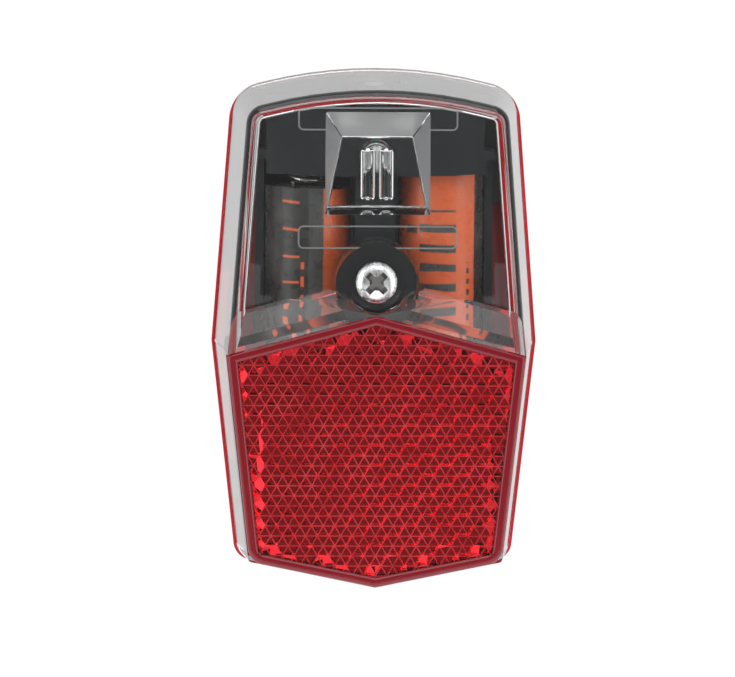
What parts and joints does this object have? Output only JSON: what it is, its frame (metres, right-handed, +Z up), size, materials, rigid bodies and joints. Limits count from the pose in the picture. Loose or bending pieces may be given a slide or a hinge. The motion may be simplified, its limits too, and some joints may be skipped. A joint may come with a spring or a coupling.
{
  "type": "bicycle rear light",
  "caption": "Battery rear light with a red housing, a deep clear cover with a light-guide window, a cube-corner reflector and a mudguard bolt mount.",
  "frame": {"origin": "centre of the mounting bolt hole, on the face of the pad that sits against the bicycle", "axes": "+Z up, +X to the right as seen from behind the bicycle, +Y out of the bolt hole towards the bicycle, so the light shines along -Y"},
  "size_m": [0.0556, 0.042, 0.089],
  "materials": {
    "red_housing": "moulded red plastic",
    "black_tray": "moulded black plastic",
    "clear_plastic": "polished clear plastic",
    "red_reflector": "polished transparent red plastic",
    "bright_screw": "bright plated steel",
    "black_rubber": "matt rubber",
    "pale_rubber": "matt silicone rubber",
    "cell_steel": "plated steel",
    "black_sleeve": "printed shrink film",
    "orange_sleeve": "printed shrink film",
    "contact_metal": "plated spring steel",
    "board": "solder mask on glass laminate",
    "lamp": "clear epoxy",
    "component_black": "moulded epoxy",
    "plunger": "moulded plastic",
    "zinc_steel": "zinc-plated steel"
  },
  "bodies": {
    "base": {"rear_housing": "red_housing", "battery_tray": "black_tray", "cover_gasket": "pale_rubber", "left_cell": "cell_steel", "left_cell_sleeve": "black_sleeve", "right_cell": "cell_steel", "right_cell_sleeve": "orange_sleeve", "positive_contact": "contact_metal", "negative_contact": "contact_metal", "negative_spring": "contact_metal", "bridge_plate": "contact_metal", "bridge_spring": "contact_metal", "led_board": "board", "led": "lamp", "board_components": "component_black", "switch_body": "component_black", "captive_nut": "zinc_steel", "tray_screws": "zinc_steel"},
    "cover": {"clear_cover": "clear_plastic", "reflector": "red_reflector"},
    "seal": {"screw_seal": "black_rubber"},
    "screw": {"cover_screw": "bright_screw"},
    "button": {"button_cap": "black_rubber", "switch_plunger": "plunger"}
  },
  "joints": [
    {"name": "cover_slide", "type": "slide", "parent": "base", "child": "cover", "axis": [0, -1, 0], "range_m": [0, 0.045]},
    {"name": "screw_lift", "type": "slide", "parent": "cover", "child": "seal", "axis": [0, -1, 0], "range_m": [0, 0.0117]},
    {"name": "screw_turn", "type": "hinge", "parent": "seal", "child": "screw", "pos_m": [0, -0.034, 0.0215], "axis": [0, -1, 0], "range_deg": [0, 3240]},
    {"name": "button_press", "type": "slide", "parent": "base", "child": "button", "axis": [0, 0, -1], "range_m": [0, 0.0007], "stiffness_N_per_m": 900}
  ],
  "couplings": [
    {"joint": "screw_turn", "follows": "screw_lift", "rad_per_m": 4833.2}
  ]
}
